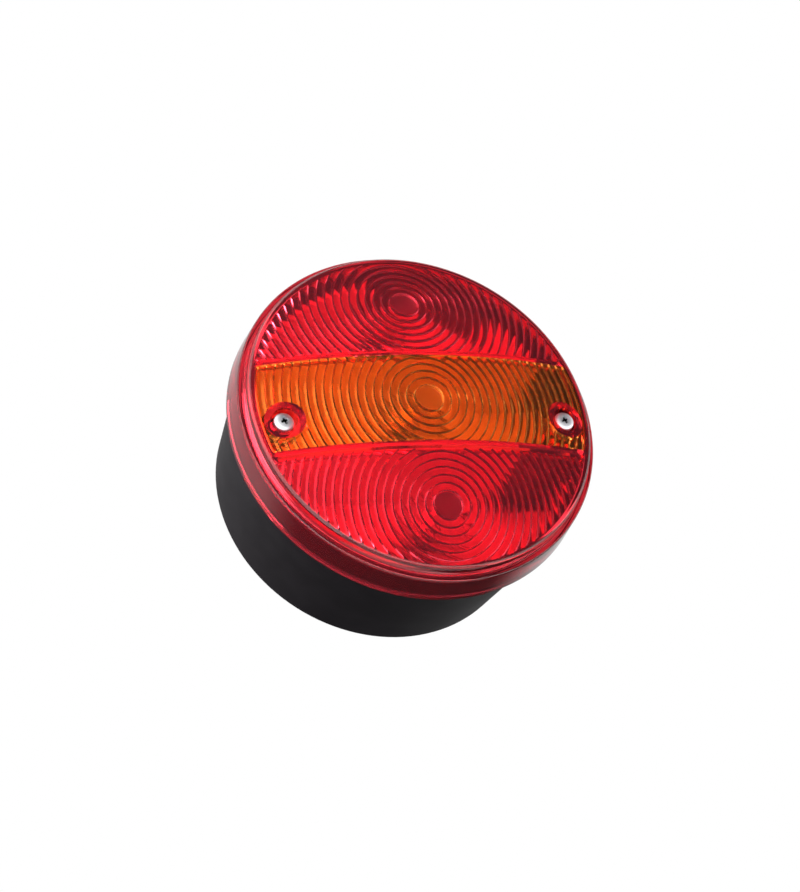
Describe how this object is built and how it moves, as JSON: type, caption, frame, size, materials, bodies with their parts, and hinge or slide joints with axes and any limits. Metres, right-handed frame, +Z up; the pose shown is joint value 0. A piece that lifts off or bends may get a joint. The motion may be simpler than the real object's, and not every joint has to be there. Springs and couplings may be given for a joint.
{
  "type": "trailer tail lamp",
  "caption": "Round tail lamp for a trailer: black cup base with mounting studs, bayonet bulbs on a white tray, and a red and amber screwed lens.",
  "frame": {"origin": "centre of the back face that meets the panel, midway between the two mounting studs", "axes": "+Y runs back out of the panel face along the studs, so the lens looks along -Y; +Z is up, with the tail section on top; +X is to the right of someone who looks at the lens"},
  "size_m": [0.14, 0.0973, 0.14],
  "materials": {
    "black_plastic": "fine grained moulding",
    "white_plastic": "glossy white moulding",
    "red_lens": "clear red acrylic, polished",
    "amber_lens": "clear amber acrylic, polished",
    "rubber": "matt black rubber",
    "zinc_steel": "bright zinc plate",
    "brass": "rolled sheet",
    "brown_insulator": "phenolic moulding",
    "black_insulator": "vitreous black insulator",
    "nickel": "nickel-plated brass cap",
    "solder": "soldered end contact",
    "bulb_glass": "clear glass",
    "filament_wire": "drawn wire"
  },
  "bodies": {
    "base": {"housing": "black_plastic", "reflector_tray": "white_plastic", "lens_gasket": "rubber", "tail_holder": "brass", "indicator_holder": "brass", "stop_holder": "brass", "tail_contact_spring": "zinc_steel", "indicator_contact_spring": "zinc_steel", "stop_contact_spring": "zinc_steel", "holder_rivets": "zinc_steel", "tray_screws": "zinc_steel", "terminal_block": "white_plastic", "tail_strap": "brass", "indicator_strap": "brass", "stop_strap": "brass", "earth_bar": "brass", "mounting_studs": "zinc_steel", "stud_washers": "zinc_steel", "cable_grommet": "rubber"},
    "lens": {"lens_red": "red_lens", "lens_amber": "amber_lens", "screw_wells": "red_lens"},
    "left_washer": {"left_screw_washer": "rubber"},
    "left_screw": {"left_lens_screw": "zinc_steel"},
    "right_washer": {"right_screw_washer": "rubber"},
    "right_screw": {"right_lens_screw": "zinc_steel"},
    "tail_contact": {"tail_plunger": "brown_insulator", "tail_contact_pip": "brass"},
    "tail_bulb": {"tail_bulb_glass": "bulb_glass", "tail_bulb_cap": "nickel", "tail_cap_insulator": "black_insulator", "tail_bulb_contact": "solder", "tail_bulb_stem": "bulb_glass", "tail_filament": "filament_wire"},
    "indicator_contact": {"indicator_plunger": "brown_insulator", "indicator_contact_pip": "brass"},
    "indicator_bulb": {"indicator_bulb_glass": "bulb_glass", "indicator_bulb_cap": "nickel", "indicator_cap_insulator": "black_insulator", "indicator_bulb_contact": "solder", "indicator_bulb_stem": "bulb_glass", "indicator_filament": "filament_wire"},
    "stop_contact": {"stop_plunger": "brown_insulator", "stop_contact_pip": "brass"},
    "stop_bulb": {"stop_bulb_glass": "bulb_glass", "stop_bulb_cap": "nickel", "stop_cap_insulator": "black_insulator", "stop_bulb_contact": "solder", "stop_bulb_stem": "bulb_glass", "stop_filament": "filament_wire"}
  },
  "joints": [
    {"name": "lens_lift_off", "type": "slide", "parent": "base", "child": "lens", "axis": [0, -1, 0], "range_m": [0, 0.06]},
    {"name": "left_screw_back_out", "type": "slide", "parent": "lens", "child": "left_washer", "axis": [0, -1, 0], "range_m": [0, 0.0137]},
    {"name": "left_screw_turn", "type": "hinge", "parent": "left_washer", "child": "left_screw", "pos_m": [-0.0554, -0.06, -0.006], "axis": [0, -1, 0], "range_deg": [0, 3800]},
    {"name": "right_screw_back_out", "type": "slide", "parent": "lens", "child": "right_washer", "axis": [0, -1, 0], "range_m": [0, 0.0137]},
    {"name": "right_screw_turn", "type": "hinge", "parent": "right_washer", "child": "right_screw", "pos_m": [0.0554, -0.06, -0.006], "axis": [0, -1, 0], "range_deg": [0, 3800]},
    {"name": "tail_bulb_press", "type": "slide", "parent": "base", "child": "tail_contact", "axis": [0, 1, 0], "range_m": [0, 0.0015], "stiffness_N_per_m": 2500, "springref_m": -0.003, "deforming": ["tail_contact_spring"]},
    {"name": "tail_bulb_turn", "type": "hinge", "parent": "tail_contact", "child": "tail_bulb", "pos_m": [0, -0.02, 0.043], "axis": [0, -1, 0], "range_deg": [0, 30]},
    {"name": "indicator_bulb_press", "type": "slide", "parent": "base", "child": "indicator_contact", "axis": [0, 1, 0], "range_m": [0, 0.0015], "stiffness_N_per_m": 2500, "springref_m": -0.003, "deforming": ["indicator_contact_spring"]},
    {"name": "indicator_bulb_turn", "type": "hinge", "parent": "indicator_contact", "child": "indicator_bulb", "pos_m": [0, -0.02, 0], "axis": [0, -1, 0], "range_deg": [0, 30]},
    {"name": "stop_bulb_press", "type": "slide", "parent": "base", "child": "stop_contact", "axis": [0, 1, 0], "range_m": [0, 0.0015], "stiffness_N_per_m": 2500, "springref_m": -0.003, "deforming": ["stop_contact_spring"]},
    {"name": "stop_bulb_turn", "type": "hinge", "parent": "stop_contact", "child": "stop_bulb", "pos_m": [0, -0.02, -0.043], "axis": [0, -1, 0], "range_deg": [0, 30]}
  ],
  "couplings": [
    {"joint": "left_screw_turn", "follows": "left_screw_back_out", "rad_per_m": 4833.2},
    {"joint": "right_screw_turn", "follows": "right_screw_back_out", "rad_per_m": 4833.2}
  ]
}
